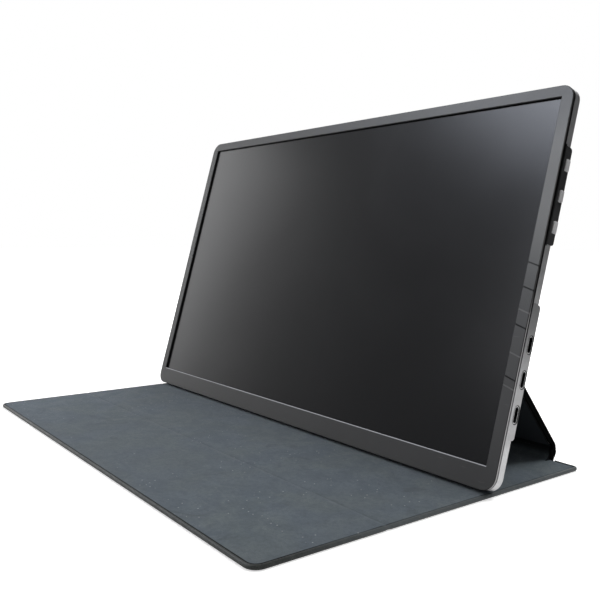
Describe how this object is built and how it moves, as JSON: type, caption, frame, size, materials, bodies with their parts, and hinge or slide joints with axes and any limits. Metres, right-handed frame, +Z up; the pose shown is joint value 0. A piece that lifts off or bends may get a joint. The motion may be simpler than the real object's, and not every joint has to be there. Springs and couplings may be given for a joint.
{
  "type": "portable monitor with cover",
  "caption": "Slim portable monitor leaning back in a folio cover that folds into its stand, with sockets and push buttons in its side edge.",
  "frame": {"origin": "middle of the footprint, on the table top under the cover", "axes": "+X to the viewer's right along the cover's folds, +Y to the rear, +Z up; the screen faces -Y and leans back"},
  "size_m": [0.3612, 0.2204, 0.2105],
  "materials": {
    "bezel_plastic": "satin",
    "case_plastic": "fine matt",
    "black_plastic": "matt",
    "key_plastic": "satin",
    "screen_glass": "anti-glare film",
    "optical_film": "frosted",
    "clear_acrylic": "polished",
    "white_sheet": "mirror-white",
    "sheet_steel": "zinc plated",
    "screw_steel": "black oxide",
    "socket_steel": "drawn",
    "circuit_board": "solder mask",
    "amber_film": "polyimide",
    "chip_black": "moulded",
    "foam": "closed cell",
    "ivory_plastic": "moulded",
    "white_ribbon": "flat cable",
    "black_tape": "tape",
    "adhesive": "tacky sheet",
    "leather": "fine grained artificial leather",
    "paperboard": "pressed grey board",
    "lining": "brushed microfibre",
    "magnet": "nickel plated"
  },
  "bodies": {
    "base": {"base_skin": "leather", "base_board": "paperboard", "base_lining": "lining", "stand_magnets": "magnet"},
    "front_flap": {"front_flap_skin": "leather", "front_flap_board": "paperboard", "front_flap_lining": "lining", "closing_magnets": "magnet"},
    "spine": {"spine_skin": "leather", "spine_board": "paperboard", "spine_lining": "lining"},
    "support": {"support_skin": "leather", "support_board": "paperboard", "support_lining": "lining"},
    "monitor": {"front_bezel": "bezel_plastic", "rear_cover": "case_plastic", "case_screws": "screw_steel", "keeper_strips": "sheet_steel", "screen_tape": "black_tape", "lcd_cell": "screen_glass", "optical_films": "optical_film", "light_guide": "clear_acrylic", "reflector_sheet": "white_sheet", "light_bar": "circuit_board", "panel_tray": "sheet_steel", "driver_board": "circuit_board", "driver_flex": "amber_film", "main_board": "circuit_board", "main_chips": "chip_black", "board_pads": "foam", "ribbon_connectors": "ivory_plastic", "display_ribbon": "white_ribbon", "button_ribbon": "white_ribbon", "socket_upper": "socket_steel", "socket_middle": "socket_steel", "socket_lower": "socket_steel", "button_board": "circuit_board", "button_switches": "chip_black", "button_strip": "black_plastic", "adhesive_sheet": "adhesive", "back_panel_skin": "leather", "back_panel_board": "paperboard", "back_panel_lining": "lining"},
    "upper_button": {"key_upper": "key_plastic", "plunger_upper": "black_plastic"},
    "middle_button": {"key_middle": "key_plastic", "plunger_middle": "black_plastic"},
    "lower_button": {"key_lower": "key_plastic", "plunger_lower": "black_plastic"}
  },
  "joints": [
    {"name": "front_flap_fold", "type": "hinge", "parent": "base", "child": "front_flap", "pos_m": [0, -0.03865, 0.0018], "axis": [-1, 0, 0], "range_deg": [0, 150]},
    {"name": "spine_fold", "type": "hinge", "parent": "base", "child": "spine", "pos_m": [0, 0.10945, 0.0007], "axis": [-1, 0, 0], "range_deg": [0, 90]},
    {"name": "support_fold", "type": "hinge", "parent": "spine", "child": "support", "pos_m": [0, 0.10945, 0.0105], "axis": [-1, 0, 0], "range_deg": [0, 39.5]},
    {"name": "monitor_tilt", "type": "hinge", "parent": "support", "child": "monitor", "pos_m": [0, 0.05653, 0.07463], "axis": [1, 0, 0], "range_deg": [0, 55.1]},
    {"name": "upper_button_press", "type": "slide", "parent": "monitor", "child": "upper_button", "axis": [-1, 0, 0], "range_m": [0, 0.0003], "stiffness_N_per_m": 6400},
    {"name": "middle_button_press", "type": "slide", "parent": "monitor", "child": "middle_button", "axis": [-1, 0, 0], "range_m": [0, 0.0003], "stiffness_N_per_m": 6400},
    {"name": "lower_button_press", "type": "slide", "parent": "monitor", "child": "lower_button", "axis": [-1, 0, 0], "range_m": [0, 0.0003], "stiffness_N_per_m": 6400}
  ],
  "couplings": [
    {"joint": "monitor_tilt", "follows": "support_fold", "ratio": 1.394}
  ]
}
